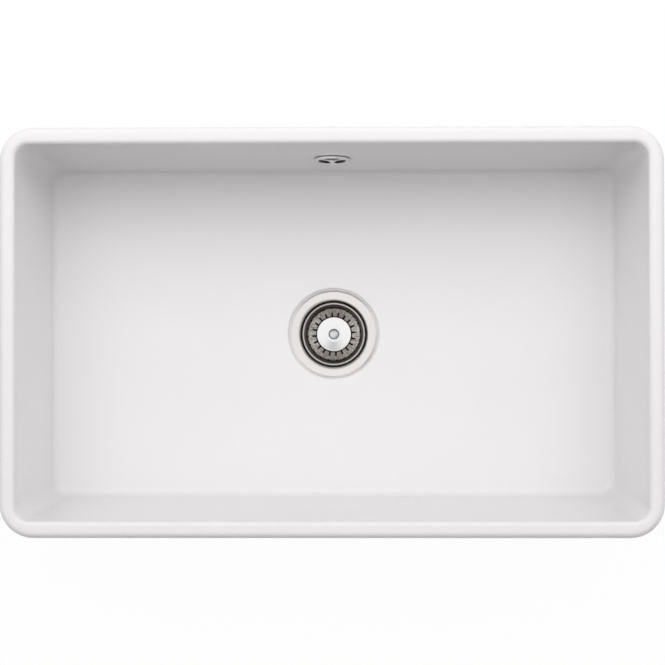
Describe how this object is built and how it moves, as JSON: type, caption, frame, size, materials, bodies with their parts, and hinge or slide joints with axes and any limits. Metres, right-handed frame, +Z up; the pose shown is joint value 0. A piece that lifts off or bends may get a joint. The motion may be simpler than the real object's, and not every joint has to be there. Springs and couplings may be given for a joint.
{
  "type": "undermount kitchen sink",
  "caption": "Rectangular single-bowl undermount sink with rolled rim, leaning walls, central lift-out basket strainer waste and a round overflow grille hosed to it.",
  "frame": {"origin": "middle of the rim's flat top, which is the worktop's underside", "axes": "+X to the right along the long side, +Y to the overflow wall at the back, +Z up"},
  "size_m": [0.795, 0.5075, 0.3038],
  "materials": {
    "glaze": "gloss white glaze over fireclay",
    "cup_steel": "brushed stainless steel",
    "basket_steel": "pressed and tumbled stainless steel",
    "bright_chrome": "polished chrome plate",
    "fastener_steel": "plain stainless steel",
    "insert_brass": "turned brass",
    "seal_rubber": "matte black rubber",
    "white_plastic": "moulded polypropylene",
    "grey_plastic": "ribbed polypropylene hose",
    "dark_plastic": "moulded black plastic",
    "nylon": "natural nylon"
  },
  "bodies": {
    "sink": {"sink_bowl": "glaze", "strainer_cup": "cup_steel", "flange_seal": "seal_rubber", "body_seal": "seal_rubber", "waste_body": "white_plastic", "thread_insert": "insert_brass", "centre_screw": "fastener_steel", "overflow_front_seal": "seal_rubber", "overflow_grille": "bright_chrome", "overflow_screw": "bright_chrome", "overflow_back_seal": "seal_rubber", "overflow_elbow": "white_plastic", "overflow_insert": "insert_brass", "overflow_hose": "grey_plastic", "hose_clip": "fastener_steel", "hose_clip_screw": "fastener_steel", "union_seal": "seal_rubber", "union_nut": "white_plastic"},
    "detent": {"detent_bush": "nylon"},
    "basket": {"basket": "basket_steel", "basket_knob": "bright_chrome", "basket_post": "fastener_steel", "seal_carrier": "dark_plastic", "plug_seal": "seal_rubber", "post_nut": "fastener_steel"}
  },
  "joints": [
    {"name": "basket_lift", "type": "slide", "parent": "sink", "child": "detent", "axis": [0, 0, 1], "range_m": [0, 0.28]},
    {"name": "basket_spin", "type": "hinge", "parent": "detent", "child": "basket", "pos_m": [0, 0, -0.26], "axis": [0, 0, 1], "continuous": true}
  ]
}
